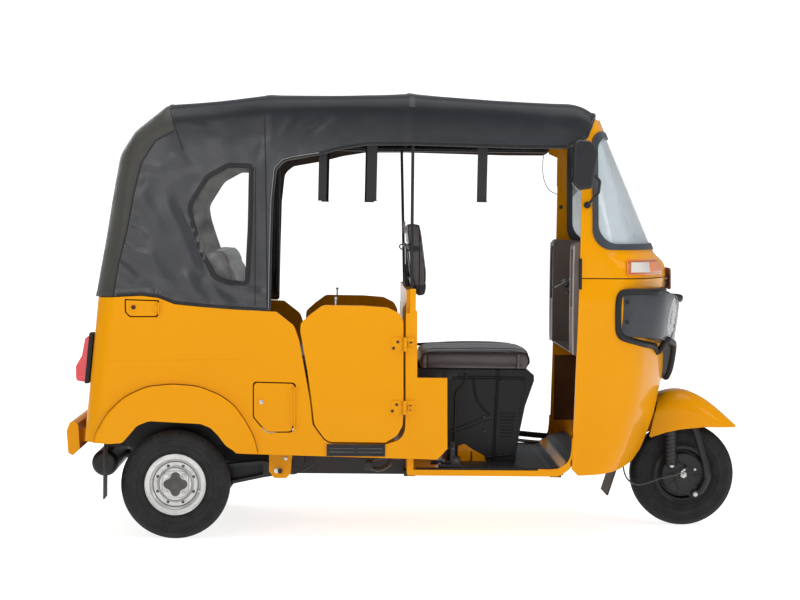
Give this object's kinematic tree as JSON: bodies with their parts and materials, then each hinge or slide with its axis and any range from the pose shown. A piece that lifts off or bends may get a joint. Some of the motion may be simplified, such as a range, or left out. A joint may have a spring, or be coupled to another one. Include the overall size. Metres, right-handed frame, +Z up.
{
  "type": "auto rickshaw",
  "caption": "Covered motor three-wheeler with driver's bench, partition, rear passenger seat, low side doors, folding-style hood, raked windshield and fork-steered front wheel.",
  "frame": {"origin": "on the ground under the middle of the vehicle's bounding box", "axes": "+X towards the front, +Y to the vehicle's left, +Z up"},
  "size_m": [2.6338, 1.424, 1.717],
  "materials": {
    "body_paint": "gloss yellow-orange enamel",
    "hood_vinyl": "black coated hood cloth",
    "hood_film": "clear flexible film",
    "black_steel": "satin black enamel",
    "seat_vinyl": "dark brown seat vinyl",
    "black_plastic": "moulded black plastic",
    "grey_plastic": "moulded dark grey plastic",
    "dash_plastic": "moulded grey-brown plastic",
    "mat_rubber": "ribbed rubber",
    "seal_rubber": "extruded rubber",
    "clear_glass": "clear safety glass",
    "lamp_lens": "clear fluted lens",
    "signal_lens": "amber lens",
    "tail_lens": "red lens",
    "plate_paint": "blank painted plate",
    "tyre_rubber": "tyre rubber",
    "rim_steel": "silver painted steel",
    "cast_metal": "dark cast metal",
    "mirror_shell": "moulded dark shell with mirror glass"
  },
  "bodies": {
    "body": {"side_panel_right": "body_paint", "side_panel_left": "body_paint", "tail_panel": "body_paint", "engine_cover": "body_paint", "rear_fenders": "body_paint", "wheel_houses": "black_steel", "floor_pan": "body_paint", "floor_mat": "mat_rubber", "partition": "body_paint", "engine_deck": "black_steel", "passenger_cushion": "seat_vinyl", "passenger_backrest": "seat_vinyl", "chassis_frame": "black_steel", "arm_brackets": "body_paint", "rear_suspension": "black_steel", "engine_block": "cast_metal", "silencer": "black_steel", "rear_bumper": "body_paint", "tail_lamps": "tail_lens", "number_plates": "plate_paint", "mud_flaps": "mat_rubber", "cowl_lower": "body_paint", "cowl_upper": "body_paint", "windshield_seal": "seal_rubber", "windshield_glass": "clear_glass", "headlamp_mask": "grey_plastic", "headlamps": "lamp_lens", "turn_signals": "signal_lens", "steering_head": "black_steel", "dash": "dash_plastic", "mirrors": "mirror_shell", "canopy": "hood_vinyl", "hood_windows": "hood_film", "hood_frame": "black_steel", "hood_straps": "hood_vinyl", "driver_seat_base": "black_plastic", "driver_cushion": "seat_vinyl", "driver_backrest": "seat_vinyl", "brake_cable": "black_plastic", "pillar_wire": "black_plastic"},
    "door_right": {"door_right": "body_paint"},
    "door_left": {"door_left": "body_paint"},
    "service_hatch": {"service_hatch": "body_paint"},
    "upper_hatch": {"upper_hatch": "body_paint"},
    "steering": {"fork": "black_steel", "handlebar": "black_steel", "front_mudguard": "body_paint"},
    "front_wheel": {"front_wheel_tyre": "tyre_rubber", "front_wheel_rim": "black_steel"},
    "rear_wheel_right": {"rear_wheel_right_tyre": "tyre_rubber", "rear_wheel_right_rim": "rim_steel"},
    "rear_wheel_left": {"rear_wheel_left_tyre": "tyre_rubber", "rear_wheel_left_rim": "rim_steel"}
  },
  "joints": [
    {"name": "door_right_hinge", "type": "hinge", "parent": "body", "child": "door_right", "pos_m": [-0.0265, -0.643, 0.628], "axis": [0, 0, 1], "range_deg": [0, 85]},
    {"name": "door_left_hinge", "type": "hinge", "parent": "body", "child": "door_left", "pos_m": [-0.0265, 0.643, 0.628], "axis": [0, 0, -1], "range_deg": [0, 85]},
    {"name": "service_hatch_hinge", "type": "hinge", "parent": "body", "child": "service_hatch", "pos_m": [-0.4435, -0.635, 0.505], "axis": [0, 0, 1], "range_deg": [0, 100]},
    {"name": "upper_hatch_hinge", "type": "hinge", "parent": "body", "child": "upper_hatch", "pos_m": [-0.961, -0.635, 0.876], "axis": [0, 0, 1], "range_deg": [0, 100]},
    {"name": "steering_turn", "type": "hinge", "parent": "body", "child": "steering", "pos_m": [0.756, 0, 1], "axis": [-0.4226, 0, 0.9063], "range_deg": [-40, 40], "deforming": ["brake_cable"]},
    {"name": "front_wheel_spin", "type": "hinge", "parent": "steering", "child": "front_wheel", "pos_m": [1.106, 0, 0.207], "axis": [0, 1, 0], "continuous": true},
    {"name": "rear_wheel_right_spin", "type": "hinge", "parent": "body", "child": "rear_wheel_right", "pos_m": [-0.894, -0.572, 0.207], "axis": [0, 1, 0], "continuous": true},
    {"name": "rear_wheel_left_spin", "type": "hinge", "parent": "body", "child": "rear_wheel_left", "pos_m": [-0.894, 0.572, 0.207], "axis": [0, 1, 0], "continuous": true}
  ]
}
